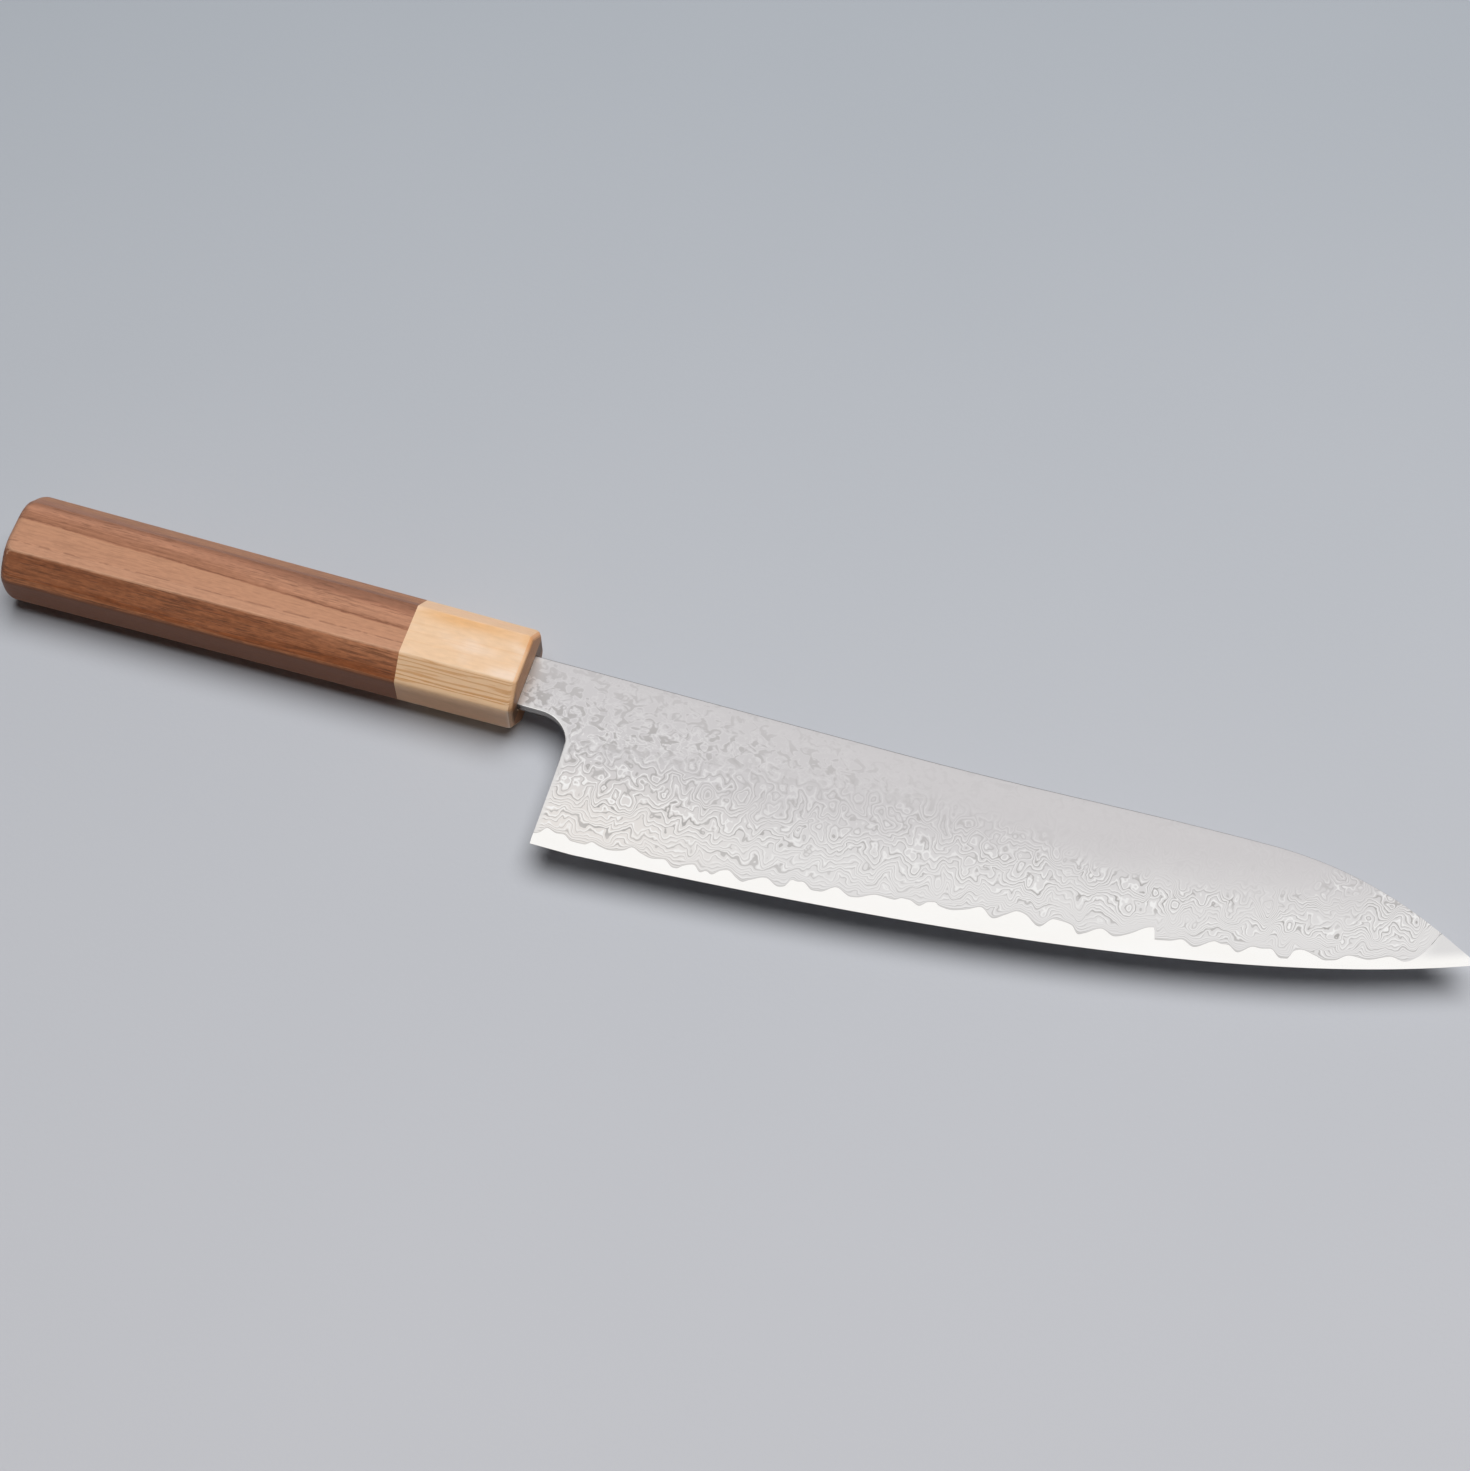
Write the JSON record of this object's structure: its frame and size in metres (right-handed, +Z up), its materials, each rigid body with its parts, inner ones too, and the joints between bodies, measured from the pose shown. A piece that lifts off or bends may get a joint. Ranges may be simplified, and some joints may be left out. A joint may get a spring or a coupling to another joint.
{
  "type": "gyuto knife",
  "caption": "Long kitchen knife with a laminated, wave-patterned steel blade, a bare hard-steel edge and an octagonal wooden handle with a pale wood ferrule, for slicing and chopping.",
  "frame": {"origin": "under the middle of the knife's bounding box, on the surface that the handle's lower side flat rests on", "axes": "+X along the handle's axis to the tip, +Y from the cutting edge to the spine, +Z up from the surface, square to the blade's faces"},
  "size_m": [0.3514, 0.0522, 0.0195],
  "materials": {
    "core_steel": "finely polished hard steel, bright at the edge",
    "cladding_steel": "satin, lightly etched wave-patterned layers",
    "pale_wood": "smooth oiled, fine straight grain",
    "walnut": "smooth oiled, long dark pores",
    "dowel_wood": "plain turned",
    "glue": "cured, translucent straw colour"
  },
  "bodies": {
    "root": {"blade_core": "core_steel", "right_cladding": "cladding_steel", "left_cladding": "cladding_steel", "ferrule": "pale_wood", "handle_body": "walnut", "dowel": "dowel_wood", "tang_glue": "glue"}
  },
  "joints": []
}
